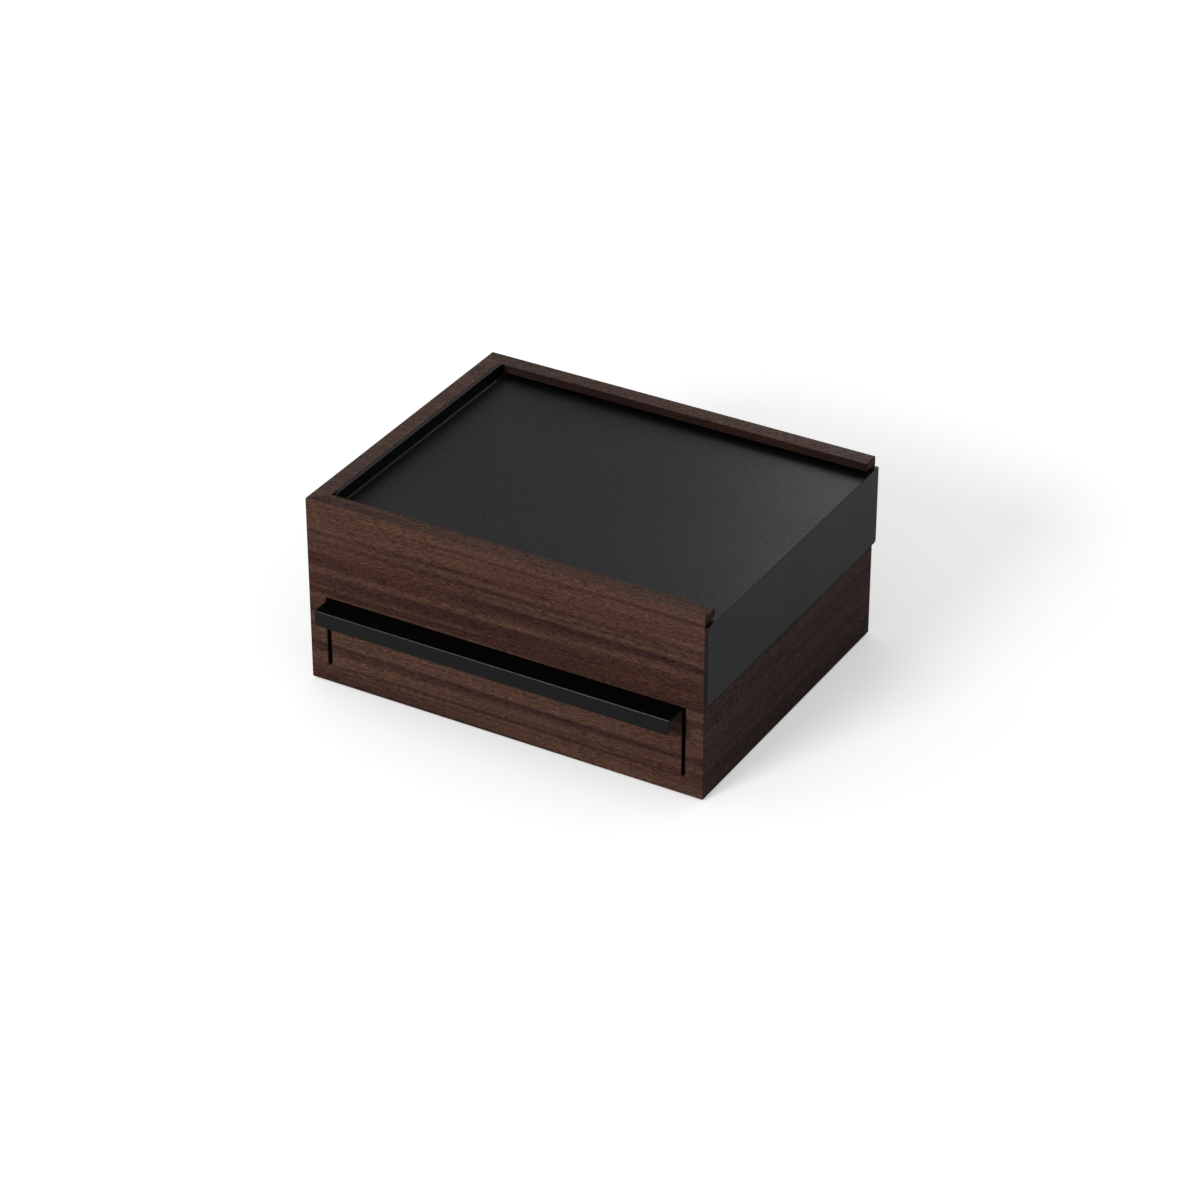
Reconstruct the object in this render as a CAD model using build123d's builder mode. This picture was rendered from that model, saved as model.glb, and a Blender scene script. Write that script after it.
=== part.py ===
from build123d import *
import os

os.makedirs("parts", exist_ok=True)

# A walnut jewellery box with a tray under a sliding sheet metal cover and one drawer below.
# Millimetres. The origin is the middle of the box's footprint on the table.
# +X runs along the box towards the cover's turned down end, -Y is the drawer's side, +Z is up.

# Case boards
case_length = 260.0
case_depth = 206.0
case_height = 120.0
board = 11.0
edge_round = 0.5

# Base, its felt and the shelf between tray and drawer
felt_thickness = 1.0
felt_inset = 4.0
felt_corner = 6.0
base_thickness = 9.0
base_rebate = 4.0
shelf_thickness = 5.0
shelf_housing = 4.0
shelf_over_opening = 3.0

# Splines across the four mitres, one below the shelf and one above it
spline_width = 8.0
spline_thickness = 3.0
spline_margin = 2.0

# Drawer opening in the front board
opening_side_rail = 11.5
opening_bottom_rail = 11.0
opening_height = 46.2

# Sliding cover, folded from one sheet
sheet = 2.0
cover_recess = 6.6
cover_rest_gap = 0.3
cover_over_gap = 1.5
cover_groove = 5.5
cover_tongue = 4.5
cover_end_gap = 0.2
drop_flange = 50.4
drop_flange_corner = 1.8
drop_fold_round = 0.4
grip_flange_rise = 8.0
grip_flange_gap = 1.7
grip_flange_end_gap = 1.0
grip_flange_corner = 1.8
grip_fold_round = 1.2

# Tray lining, dividers and ring rolls
lining = 2.0
lining_below_rim = 4.0
divider = 4.0
divider_crown = 1.5
divider_below_lining = 6.0
halving_gap = 0.1
tray_columns = 3
roll_length_gap = 0.4
roll_gap = 0.2
roll_diameter = 17.0
roll_end_draw = 3.4
roll_end_round = 3.0
roll_flat = 0.6

# Drawer
drawer_side_gap = 2.45
drawer_bottom_gap = 0.5
drawer_recess = 0.4
drawer_front_thickness = 11.0
drawer_side_thickness = 8.0
drawer_side_height = 40.0
drawer_rebate = 6.0
drawer_housing = 3.0
drawer_tail = 5.0
drawer_bottom_thickness = 4.0
drawer_bottom_lift = 3.0
drawer_groove = 4.0
drawer_top_round = 1.0
drawer_lining = 1.5
drawer_lining_drop = 2.0
drawer_divider_drop = 4.0
drawer_rear_row = 52.0
drawer_columns = 3

# Runners and stops in the drawer's bay
runner_gap = 0.3
runner_width = 14.0
guide_gap = 0.4
guide_height = 14.0
stop_thickness = 3.0
stop_diameter = 10.0
stop_gap = 0.3
stop_spacing = 160.0

# Folded handle strip on the drawer front
handle_sheet = 1.5
handle_fold_round = 0.5
handle_top_gap = 0.4
handle_reach = 15.1
handle_lip_height = 9.8
handle_lip_corner = 1.4
handle_overhang = 0.2
handle_back_inset = 0.6
screw_radius = 1.4
screw_head_radius = 2.7
screw_head_depth = 1.3
screw_length = 14.0
screw_fit = 0.05
screw_end_inset = 21.0

# Levels and faces that several pieces share
inner_length = case_length - 2 * board
inner_depth = case_depth - 2 * board
wood_bottom = felt_thickness
base_top = wood_bottom + base_thickness
case_top = wood_bottom + case_height
opening_length = case_length - 2 * opening_side_rail
opening_bottom = wood_bottom + opening_bottom_rail
opening_top = opening_bottom + opening_height
shelf_bottom = opening_top + shelf_over_opening
shelf_top = shelf_bottom + shelf_thickness
cover_top = case_top - cover_recess
cover_under = cover_top - sheet
groove_bottom = cover_under - cover_rest_gap
groove_top = cover_top + cover_over_gap
front_face = -case_depth / 2
corners = [(-1, -1), (1, -1), (1, 1), (-1, 1)]


# The splines are glued across the mitres, so their slots in the boards are their own shape.
with BuildPart() as corner_splines:
    for low, high in [(base_top, shelf_bottom), (shelf_top, groove_bottom)]:
        with BuildSketch(Plane.XY.offset(low + spline_margin)):
            for x_side, y_side in corners:
                mitre_middle = (x_side * (case_length - board) / 2, y_side * (case_depth - board) / 2, 0)
                with Locations(Location(mitre_middle, (0, 0, -45 * x_side * y_side))):
                    Rectangle(spline_width, spline_thickness)
        extrude(amount=high - low - 2 * spline_margin)

# All four boards as one ring, with every groove and edge that runs past a corner.
with BuildPart() as case_ring:
    with BuildSketch(Plane.XY.offset(wood_bottom)):
        Rectangle(case_length, case_depth)
        Rectangle(inner_length, inner_depth, mode=Mode.SUBTRACT)
    extrude(amount=case_height)
    with BuildSketch(Plane.XY.offset(wood_bottom)):
        Rectangle(inner_length + 2 * base_rebate, inner_depth + 2 * base_rebate)
    extrude(amount=base_thickness, mode=Mode.SUBTRACT)
    with BuildSketch(Plane.XY.offset(shelf_bottom)):
        Rectangle(inner_length + 2 * shelf_housing, inner_depth + 2 * shelf_housing)
    extrude(amount=shelf_thickness, mode=Mode.SUBTRACT)
    # The cover's grooves run out through the right end, where the board is lower.
    with BuildSketch(Plane.XY.offset(groove_bottom)):
        with Locations((-inner_length / 2, 0)):
            Rectangle(inner_length + board, inner_depth + 2 * cover_groove, align=(Align.MIN, Align.CENTER))
    extrude(amount=groove_top - groove_bottom, mode=Mode.SUBTRACT)
    with BuildSketch(Plane.XY.offset(groove_bottom)):
        with Locations((inner_length / 2, 0)):
            Rectangle(board, inner_depth, align=(Align.MIN, Align.CENTER))
    extrude(amount=case_top - groove_bottom, mode=Mode.SUBTRACT)
    with BuildSketch(Plane.XZ.offset(-front_face)):
        with Locations((0, opening_bottom)):
            Rectangle(opening_length, opening_height, align=(Align.CENTER, Align.MIN))
    extrude(amount=-board, mode=Mode.SUBTRACT)
    front_edges = case_ring.faces().sort_by(Axis.Y)[0].edges()
    back_edges = case_ring.faces().sort_by(Axis.Y)[-1].edges()
    left_edges = case_ring.faces().sort_by(Axis.X)[0].edges()
    top_edges = case_ring.faces().sort_by(Axis.Z)[-1].edges()
    right_edges = case_ring.faces().sort_by(Axis.X)[-1].edges()
    fillet(ShapeList({*front_edges, *back_edges, *left_edges, *top_edges, *right_edges}), edge_round)
    add(corner_splines.part, mode=Mode.SUBTRACT)

# What the front board takes of the ring: between its mitres, and the square ends above the
# lower right board.
with BuildPart() as front_share:
    with BuildSketch(Plane.XY.offset(wood_bottom)):
        Polygon(
            (-case_length / 2 - board, front_face - board),
            (case_length / 2 + board, front_face - board),
            (inner_length / 2 - board, front_face + 2 * board),
            (-inner_length / 2 + board, front_face + 2 * board),
            align=None,
        )
    extrude(amount=case_height)
    with BuildSketch(Plane.XY.offset(groove_bottom)):
        with Locations((case_length / 2, front_face)):
            Rectangle(board, board, align=(Align.MAX, Align.MIN))
    extrude(amount=case_top - groove_bottom)

with BuildPart() as front_panel:
    add(case_ring.part)
    add(front_share.part, mode=Mode.INTERSECT)

with BuildPart() as back_panel:
    add(case_ring.part)
    mirror(front_share.part, about=Plane.XZ, mode=Mode.INTERSECT)

with BuildPart() as end_boards:
    add(case_ring.part)
    add(front_share.part, mode=Mode.SUBTRACT)
    mirror(front_share.part, about=Plane.XZ, mode=Mode.SUBTRACT)

with BuildPart() as left_panel:
    add(end_boards.part)
    split(bisect_by=Plane.YZ, keep=Keep.BOTTOM)

with BuildPart() as right_panel:
    add(end_boards.part)
    split(bisect_by=Plane.YZ, keep=Keep.TOP)

with BuildPart() as base_panel:
    with BuildSketch(Plane.XY.offset(wood_bottom)):
        Rectangle(inner_length + 2 * base_rebate, inner_depth + 2 * base_rebate)
    extrude(amount=base_thickness)

with BuildPart() as base_felt:
    with BuildSketch():
        RectangleRounded(case_length - 2 * felt_inset, case_depth - 2 * felt_inset, felt_corner)
    extrude(amount=felt_thickness)

with BuildPart() as shelf_panel:
    with BuildSketch(Plane.XY.offset(shelf_bottom)):
        Rectangle(inner_length + 2 * shelf_housing, inner_depth + 2 * shelf_housing)
    extrude(amount=shelf_thickness)

# The cover is one folded sheet: a grip turned up beside the left board, a flat that runs in
# both grooves, and a wide end turned down over the right board along a crisp fold.
grip_outer = -inner_length / 2 + grip_flange_gap
grip_inner = grip_outer + sheet
flat_left = grip_inner + grip_fold_round
flat_right = case_length / 2 + cover_end_gap
drop_outer = flat_right + sheet
drop_bottom = cover_top - drop_flange
with BuildPart() as sliding_cover:
    with BuildSketch(Plane.XZ):
        with BuildLine():
            Polyline(
                (grip_outer, cover_top + grip_flange_rise),
                (grip_inner, cover_top + grip_flange_rise),
                (grip_inner, cover_top),
                (drop_outer, cover_top),
                (drop_outer, drop_bottom),
                (flat_right, drop_bottom),
                (flat_right, cover_under),
                (grip_outer, cover_under),
                close=True,
            )
        make_face()
        fillet(vertices().sort_by_distance((grip_inner, cover_top))[0], grip_fold_round)
        fillet(vertices().sort_by_distance((grip_outer, cover_under))[0], grip_fold_round + sheet)
        fillet(vertices().sort_by_distance((drop_outer, cover_top))[0], drop_fold_round)
    extrude(amount=case_depth / 2, both=True)
    # The flat is cut back to its tongues, up to where it leaves the right end.
    flat_cut = board - cover_tongue
    with BuildSketch(Plane.XY.offset(cover_under)):
        with Locations((flat_right, front_face), (flat_right, -front_face)):
            Rectangle(2 * case_length, 2 * flat_cut, align=(Align.MAX, Align.CENTER))
    extrude(amount=case_height, both=True, mode=Mode.SUBTRACT)
    # The grip is cut back further, to stand between the front and back boards.
    grip_cut = board + grip_flange_end_gap
    with BuildSketch(Plane.XY.offset(cover_under)):
        with Locations((flat_left, front_face), (flat_left, -front_face)):
            Rectangle(2 * case_length, 2 * grip_cut, align=(Align.MAX, Align.CENTER))
    extrude(amount=case_height, both=True, mode=Mode.SUBTRACT)
    fillet(sliding_cover.edges().filter_by(Axis.X).group_by(Axis.Z)[0], drop_flange_corner)
    fillet(sliding_cover.edges().filter_by(Axis.X).group_by(Axis.Z)[-1], grip_flange_corner)


# Tray: thin covered boards line its floor and walls, and halved boards divide it.
def lining_board(length, depth, height, middle, bottom):
    with BuildPart() as covered_board:
        with BuildSketch(Plane.XY.offset(bottom)):
            with Locations(middle):
                Rectangle(length, depth)
        extrude(amount=height)
    return covered_board


def divider_board(start, end, bottom, top, notches=(), notch_from_top=True):
    """A rounded divider between two points, with a half deep notch for each one it crosses."""
    with BuildPart() as covered_divider:
        along_x = start[1] == end[1]
        run = (end[0] - start[0]) if along_x else (end[1] - start[1])
        size = (run, divider) if along_x else (divider, run)
        middle = ((start[0] + end[0]) / 2, (start[1] + end[1]) / 2)
        with BuildSketch(Plane.XY.offset(bottom)):
            with Locations(middle):
                Rectangle(*size)
        extrude(amount=top - bottom)
        long_axis = Axis.X if along_x else Axis.Y
        fillet(covered_divider.edges().filter_by(long_axis).group_by(Axis.Z)[-1], divider_crown)
        notch_bottom = (bottom + top) / 2 if notch_from_top else bottom
        notch = divider + 2 * halving_gap
        if notches:
            with BuildSketch(Plane.XY.offset(notch_bottom)):
                with Locations(*notches):
                    Rectangle(notch, notch)
            extrude(amount=(top - bottom) / 2, mode=Mode.SUBTRACT)
    return covered_divider


tray_floor = shelf_top + lining
tray_lining_height = groove_bottom - lining_below_rim - tray_floor
tray_length = inner_length - 2 * lining
tray_depth = inner_depth - 2 * lining
tray_divider_top = tray_floor + tray_lining_height - divider_below_lining
lining_x = (inner_length - lining) / 2
lining_y = (inner_depth - lining) / 2

tray_floor_lining = lining_board(inner_length, inner_depth, lining, (0, 0), shelf_top)
tray_front_lining = lining_board(inner_length, lining, tray_lining_height, (0, -lining_y), tray_floor)
tray_back_lining = lining_board(inner_length, lining, tray_lining_height, (0, lining_y), tray_floor)
tray_left_lining = lining_board(lining, tray_depth, tray_lining_height, (-lining_x, 0), tray_floor)
tray_right_lining = lining_board(lining, tray_depth, tray_lining_height, (lining_x, 0), tray_floor)

column_length = (tray_length - (tray_columns - 1) * divider) / tray_columns
tray_crossings = [
    (-tray_length / 2 + (column + 1) * (column_length + divider) - divider / 2, 0)
    for column in range(tray_columns - 1)
]
tray_long_divider = divider_board(
    (-tray_length / 2, 0), (tray_length / 2, 0), tray_floor, tray_divider_top, tray_crossings
)
tray_cross_dividers = [
    divider_board(
        (x, -tray_depth / 2), (x, tray_depth / 2), tray_floor, tray_divider_top, [(x, 0)], False
    )
    for x, _ in tray_crossings
]

# Soft rolls lie side by side in the front left compartment and hold rings between them. Each is
# a foam rod whose cover is drawn in round its ends.
row_depth = (tray_depth - divider) / 2
roll_count = int(row_depth // (roll_diameter + roll_gap))
roll_pitch = row_depth / roll_count
roll_radius = (roll_pitch - roll_gap) / 2
roll_half = column_length / 2 - roll_length_gap
roll_shoulder = roll_half - roll_end_round
roll_end = roll_radius - roll_end_draw
roll_x = -tray_length / 2 + column_length / 2
roll_axis_height = tray_floor + roll_radius - roll_flat
with BuildPart() as ring_rolls:
    for roll in range(roll_count):
        roll_y = -tray_depth / 2 + (roll + 0.5) * roll_pitch
        roll_plane = Plane((roll_x, roll_y, roll_axis_height), x_dir=(1, 0, 0), z_dir=(0, -1, 0))
        with BuildSketch(roll_plane):
            with BuildLine():
                Polyline(
                    (-roll_half, 0),
                    (-roll_half, roll_end),
                    (-roll_shoulder, roll_radius),
                    (roll_shoulder, roll_radius),
                    (roll_half, roll_end),
                    (roll_half, 0),
                    close=True,
                )
            make_face()
        revolve(axis=Axis((roll_x, roll_y, roll_axis_height), (1, 0, 0)))
    with BuildSketch(Plane.XY.offset(tray_floor)):
        Rectangle(case_length, case_depth)
    extrude(amount=-roll_diameter, mode=Mode.SUBTRACT)

# Drawer: a front board from the same plank as the case front, and a grooved box behind it.
drawer_half = opening_length / 2 - drawer_side_gap
drawer_under = opening_bottom + drawer_bottom_gap
handle_top = opening_top - handle_top_gap
drawer_front_top = handle_top - handle_sheet
drawer_face = front_face + drawer_recess
drawer_front_back = drawer_face + drawer_front_thickness
drawer_rear = inner_depth / 2 - stop_thickness - stop_gap
drawer_back_outer = drawer_rear - drawer_tail
drawer_back_inner = drawer_back_outer - drawer_side_thickness
drawer_side_top = drawer_under + drawer_side_height
drawer_bottom_z = drawer_under + drawer_bottom_lift
drawer_inner_half = drawer_half - drawer_side_thickness
screw_y = (drawer_face + drawer_front_back) / 2
screw_end = drawer_half - screw_end_inset
screw_places = [(x, screw_y) for x in (-screw_end, 0, screw_end)]

with BuildPart() as drawer_bottom:
    with BuildSketch(Plane.XY.offset(drawer_bottom_z)):
        with Locations((0, drawer_front_back - drawer_groove)):
            Rectangle(
                2 * (drawer_inner_half + drawer_groove),
                drawer_back_inner - drawer_front_back + 2 * drawer_groove,
                align=(Align.CENTER, Align.MIN),
            )
    extrude(amount=drawer_bottom_thickness)

with BuildPart() as drawer_back:
    with BuildSketch(Plane.XY.offset(drawer_under)):
        with Locations((0, drawer_back_inner)):
            Rectangle(
                2 * (drawer_inner_half + drawer_housing),
                drawer_side_thickness,
                align=(Align.CENTER, Align.MIN),
            )
    extrude(amount=drawer_side_height)
    fillet(drawer_back.edges().filter_by(Axis.X).group_by(Axis.Z)[-1], drawer_top_round)
    add(drawer_bottom.part, mode=Mode.SUBTRACT)


def drawer_side(x_side):
    side_middle = x_side * (drawer_half - drawer_side_thickness / 2)
    with BuildPart() as side_board:
        with BuildSketch(Plane.XY.offset(drawer_under)):
            with Locations((side_middle, drawer_front_back - drawer_rebate)):
                Rectangle(
                    drawer_side_thickness,
                    drawer_rear - drawer_front_back + drawer_rebate,
                    align=(Align.CENTER, Align.MIN),
                )
        extrude(amount=drawer_side_height)
        fillet(side_board.edges().filter_by(Axis.Y).group_by(Axis.Z)[-1], drawer_top_round)
        # The back stands in a housing as high as the side itself.
        with BuildSketch(Plane.XY.offset(drawer_under)):
            with Locations((0, drawer_back_inner)):
                Rectangle(
                    2 * (drawer_inner_half + drawer_housing),
                    drawer_side_thickness,
                    align=(Align.CENTER, Align.MIN),
                )
        extrude(amount=drawer_side_height, mode=Mode.SUBTRACT)
        add(drawer_bottom.part, mode=Mode.SUBTRACT)
    return side_board


drawer_left_side = drawer_side(-1)
drawer_right_side = drawer_side(1)

with BuildPart() as drawer_front:
    with BuildSketch(Plane.XZ.offset(-drawer_face)):
        with Locations((0, drawer_under)):
            Rectangle(2 * drawer_half, drawer_front_top - drawer_under, align=(Align.CENTER, Align.MIN))
    extrude(amount=-drawer_front_thickness)
    face_edges = drawer_front.faces().sort_by(Axis.Y)[0].edges()
    fillet(face_edges.sort_by(Axis.Z)[:-1], edge_round)
    # Rebates for the sides, as high as the sides.
    with BuildSketch(Plane.XY.offset(drawer_under)):
        with Locations((-drawer_half, drawer_front_back), (drawer_half, drawer_front_back)):
            Rectangle(2 * drawer_side_thickness, 2 * drawer_rebate)
    extrude(amount=drawer_side_height, mode=Mode.SUBTRACT)
    add(drawer_bottom.part, mode=Mode.SUBTRACT)
    with Locations(*[(x, y, drawer_front_top) for x, y in screw_places]):
        Hole(radius=screw_radius + screw_fit, depth=screw_length - handle_sheet)

# The handle is one strip: its flat lies on the drawer front's top edge, its lip is folded down.
handle_back = drawer_front_back - handle_back_inset
lip_outer = front_face - handle_reach
lip_inner = lip_outer + handle_sheet
lip_bottom = handle_top - handle_lip_height
with BuildPart() as drawer_handle:
    with BuildSketch(Plane.YZ):
        with BuildLine():
            Polyline(
                (handle_back, handle_top),
                (lip_outer, handle_top),
                (lip_outer, lip_bottom),
                (lip_inner, lip_bottom),
                (lip_inner, drawer_front_top),
                (handle_back, drawer_front_top),
                close=True,
            )
        make_face()
        fillet(vertices().sort_by_distance((lip_outer, handle_top))[0], handle_fold_round)
    extrude(amount=drawer_half + handle_overhang, both=True)
    fillet(drawer_handle.edges().filter_by(Axis.Y).group_by(Axis.Z)[0], handle_lip_corner)
    with Locations(*[(x, y, handle_top) for x, y in screw_places]):
        CounterSinkHole(
            radius=screw_radius + screw_fit,
            counter_sink_radius=screw_head_radius + screw_fit,
            depth=handle_sheet,
        )

with BuildPart() as handle_screws:
    with Locations(*[(x, y, handle_top) for x, y in screw_places]):
        Cone(
            bottom_radius=screw_radius,
            top_radius=screw_head_radius,
            height=screw_head_depth,
            align=(Align.CENTER, Align.CENTER, Align.MAX),
        )
        Cylinder(
            radius=screw_radius,
            height=screw_length,
            align=(Align.CENTER, Align.CENTER, Align.MAX),
        )

# Drawer lining and dividers: one long row at the rear, and squares in front of it.
drawer_floor = drawer_bottom_z + drawer_bottom_thickness
drawer_lined_floor = drawer_floor + drawer_lining
drawer_lining_height = drawer_side_top - drawer_lining_drop - drawer_lined_floor
drawer_inner_depth = drawer_back_inner - drawer_front_back
drawer_middle = (drawer_back_inner + drawer_front_back) / 2
drawer_side_lining_x = drawer_inner_half - drawer_lining / 2

drawer_floor_lining = lining_board(
    2 * drawer_inner_half, drawer_inner_depth, drawer_lining, (0, drawer_middle), drawer_floor
)
drawer_front_lining = lining_board(
    2 * drawer_inner_half,
    drawer_lining,
    drawer_lining_height,
    (0, drawer_front_back + drawer_lining / 2),
    drawer_lined_floor,
)
drawer_back_lining = lining_board(
    2 * drawer_inner_half,
    drawer_lining,
    drawer_lining_height,
    (0, drawer_back_inner - drawer_lining / 2),
    drawer_lined_floor,
)
drawer_left_lining = lining_board(
    drawer_lining,
    drawer_inner_depth - 2 * drawer_lining,
    drawer_lining_height,
    (-drawer_side_lining_x, drawer_middle),
    drawer_lined_floor,
)
drawer_right_lining = lining_board(
    drawer_lining,
    drawer_inner_depth - 2 * drawer_lining,
    drawer_lining_height,
    (drawer_side_lining_x, drawer_middle),
    drawer_lined_floor,
)

drawer_divider_top = drawer_side_top - drawer_divider_drop
drawer_clear_half = drawer_inner_half - drawer_lining
drawer_row_y = drawer_back_inner - drawer_lining - drawer_rear_row - divider / 2
drawer_long_divider = divider_board(
    (-drawer_clear_half, drawer_row_y),
    (drawer_clear_half, drawer_row_y),
    drawer_lined_floor,
    drawer_divider_top,
)
drawer_column = (2 * drawer_clear_half - (drawer_columns - 1) * divider) / drawer_columns
drawer_cross_places = [
    -drawer_clear_half + (column + 1) * (drawer_column + divider) - divider / 2
    for column in range(drawer_columns - 1)
]
drawer_cross_dividers = [
    divider_board(
        (x, drawer_front_back + drawer_lining),
        (x, drawer_row_y - divider / 2),
        drawer_lined_floor,
        drawer_divider_top,
    )
    for x in drawer_cross_places
]

# Runners under and beside the drawer, and the pads that it closes against.
runner_top = drawer_under - runner_gap
guide_face = drawer_half + guide_gap


def drawer_runner(x_side):
    with BuildPart() as runner:
        wall = x_side * inner_length / 2
        inner_edge = x_side * (inner_length / 2 - runner_width)
        with BuildSketch(Plane.XZ.offset(inner_depth / 2)):
            with BuildLine():
                Polyline(
                    (wall, base_top),
                    (inner_edge, base_top),
                    (inner_edge, runner_top),
                    (x_side * guide_face, runner_top),
                    (x_side * guide_face, base_top + guide_height),
                    (wall, base_top + guide_height),
                    close=True,
                )
            make_face()
        extrude(amount=-inner_depth)
    return runner


left_drawer_runner = drawer_runner(-1)
right_drawer_runner = drawer_runner(1)

with BuildPart() as drawer_stops:
    stop_height = drawer_under + drawer_side_height / 2
    with BuildSketch(Plane.XZ.offset(-inner_depth / 2)):
        with Locations((-stop_spacing / 2, stop_height), (stop_spacing / 2, stop_height)):
            Circle(stop_diameter / 2)
    extrude(amount=stop_thickness)

pieces = {
    "base_felt": base_felt,
    "base_panel": base_panel,
    "front_panel": front_panel,
    "back_panel": back_panel,
    "left_panel": left_panel,
    "right_panel": right_panel,
    "corner_splines": corner_splines,
    "shelf_panel": shelf_panel,
    "sliding_cover": sliding_cover,
    "tray_floor_lining": tray_floor_lining,
    "tray_front_lining": tray_front_lining,
    "tray_back_lining": tray_back_lining,
    "tray_left_lining": tray_left_lining,
    "tray_right_lining": tray_right_lining,
    "tray_long_divider": tray_long_divider,
    "ring_rolls": ring_rolls,
    "drawer_front": drawer_front,
    "drawer_left_side": drawer_left_side,
    "drawer_right_side": drawer_right_side,
    "drawer_back": drawer_back,
    "drawer_bottom": drawer_bottom,
    "drawer_handle": drawer_handle,
    "handle_screws": handle_screws,
    "drawer_floor_lining": drawer_floor_lining,
    "drawer_front_lining": drawer_front_lining,
    "drawer_back_lining": drawer_back_lining,
    "drawer_left_lining": drawer_left_lining,
    "drawer_right_lining": drawer_right_lining,
    "drawer_long_divider": drawer_long_divider,
    "left_drawer_runner": left_drawer_runner,
    "right_drawer_runner": right_drawer_runner,
    "drawer_stops": drawer_stops,
}
for number, piece in enumerate(tray_cross_dividers, start=1):
    pieces[f"tray_cross_divider_{number}"] = piece
for number, piece in enumerate(drawer_cross_dividers, start=1):
    pieces[f"drawer_cross_divider_{number}"] = piece

for label, piece in pieces.items():
    piece.part.label = label
    export_step(piece.part, f"parts/{label}.step")
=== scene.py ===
from math import cos, pi, radians, sin

import bmesh
import bpy
from mathutils import Matrix, Vector, noise


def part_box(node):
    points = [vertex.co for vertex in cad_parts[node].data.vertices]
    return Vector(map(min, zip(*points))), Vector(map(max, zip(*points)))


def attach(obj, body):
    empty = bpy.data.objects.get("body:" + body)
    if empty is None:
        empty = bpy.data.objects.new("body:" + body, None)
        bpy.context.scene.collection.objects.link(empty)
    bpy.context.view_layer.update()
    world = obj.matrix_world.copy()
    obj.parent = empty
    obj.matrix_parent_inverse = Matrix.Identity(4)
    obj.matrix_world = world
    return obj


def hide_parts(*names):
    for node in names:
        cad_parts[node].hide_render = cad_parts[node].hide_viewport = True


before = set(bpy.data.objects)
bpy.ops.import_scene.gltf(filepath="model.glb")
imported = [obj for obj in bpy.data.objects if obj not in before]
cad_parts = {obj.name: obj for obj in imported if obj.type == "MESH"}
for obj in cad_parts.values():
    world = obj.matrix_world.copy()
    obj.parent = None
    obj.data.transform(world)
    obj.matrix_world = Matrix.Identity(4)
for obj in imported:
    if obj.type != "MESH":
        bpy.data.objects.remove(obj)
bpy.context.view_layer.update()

# The camera stands to the right of the drawer's side and looks down on the closed box through a
# long lens, as in the photograph.
camera_azimuth = radians(29.93)
camera_elevation = radians(31.34)
camera_distance = 2.3556
camera_target = Vector((-0.0001, 0.0083, 0.0336))
towards_camera = Vector((
    sin(camera_azimuth) * cos(camera_elevation),
    -cos(camera_azimuth) * cos(camera_elevation),
    sin(camera_elevation),
))
camera = bpy.data.objects.new("camera", bpy.data.cameras.new("camera"))
camera.data.sensor_width = 36.0
camera.data.lens = 120.2
camera.data.clip_start = 0.05
camera.data.clip_end = 60.0
camera.location = camera_target + camera_distance * towards_camera
camera.rotation_euler = towards_camera.to_track_quat("Z", "Y").to_euler()
bpy.context.scene.collection.objects.link(camera)
bpy.context.scene.camera = camera
bpy.context.scene.view_settings.view_transform = "Standard"

# The studio has a soft lamp to the front left and a faint one to the right. A small lamp close
# behind draws the sheen at the cover's right end.
lamps = [
    ("front_lamp", Vector((-0.416, -1.958, 1.193)), 0.8, 40.0),
    ("side_lamp", Vector((1.7255, 0.1510, 1.0600)), 1.0, 0.7),
    ("rear_lamp", Vector((-0.03, 0.473, 0.389)), 0.2, 0.46),
]
for lamp_name, lamp_place, lamp_width, lamp_power in lamps:
    lamp = bpy.data.objects.new(lamp_name, bpy.data.lights.new(lamp_name, "AREA"))
    lamp.data.shape = "DISK"
    lamp.data.size = lamp_width
    lamp.data.energy = lamp_power
    lamp.location = lamp_place
    lamp.rotation_euler = (lamp_place - camera_target).to_track_quat("Z", "Y").to_euler()
    bpy.context.scene.collection.objects.link(lamp)


# The room round the table is white. It shows behind the box and in its metal, and adds next to
# nothing to the lamps' light.
def new_node(tree, kind, **settings):
    """A shader node with its properties and its named sockets set."""
    node = tree.nodes.new("ShaderNode" + kind)
    for key, value in settings.items():
        if key in node.inputs:
            node.inputs[key].default_value = value
        else:
            setattr(node, key, value)
    return node


def feed(tree, socket, value):
    """Links a socket to another one, or sets it to a plain number or RGB."""
    if isinstance(value, bpy.types.NodeSocket):
        tree.links.new(value, socket)
    elif isinstance(value, tuple):
        socket.default_value = (*value, 1.0)
    else:
        socket.default_value = value


def worked(tree, operation, *terms):
    """The result of one Math operation on sockets and plain numbers."""
    node = new_node(tree, "Math", operation=operation)
    for socket, term in zip(node.inputs, terms):
        feed(tree, socket, term)
    return node.outputs[0]


def ranged(tree, source, low, high, to_low=0.0, to_high=1.0):
    """The source between low and high, spread from to_low to to_high."""
    spread = new_node(tree, "MapRange")
    spread.inputs["From Min"].default_value = low
    spread.inputs["From Max"].default_value = high
    spread.inputs["To Min"].default_value = to_low
    spread.inputs["To Max"].default_value = to_high
    tree.links.new(source, spread.inputs["Value"])
    return spread.outputs["Result"]


def blended(tree, share, first, second):
    """Two numbers mixed by a share. Each is a socket or a plain number."""
    mix = new_node(tree, "Mix", data_type="FLOAT")
    feed(tree, mix.inputs[0], share)
    feed(tree, mix.inputs[2], first)
    feed(tree, mix.inputs[3], second)
    return mix.outputs[0]


def seen_strength(tree, hidden, straight, mirrored):
    """A strength as camera rays see it, as mirrored and clear rays see it, and hidden from others."""
    rays = new_node(tree, "LightPath")
    plain = ranged(tree, rays.outputs["Is Camera Ray"], 0.0, 1.0, hidden, straight)
    either = worked(tree, "MAXIMUM", rays.outputs["Is Glossy Ray"], rays.outputs["Is Transmission Ray"])
    return blended(tree, either, plain, mirrored)


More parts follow.
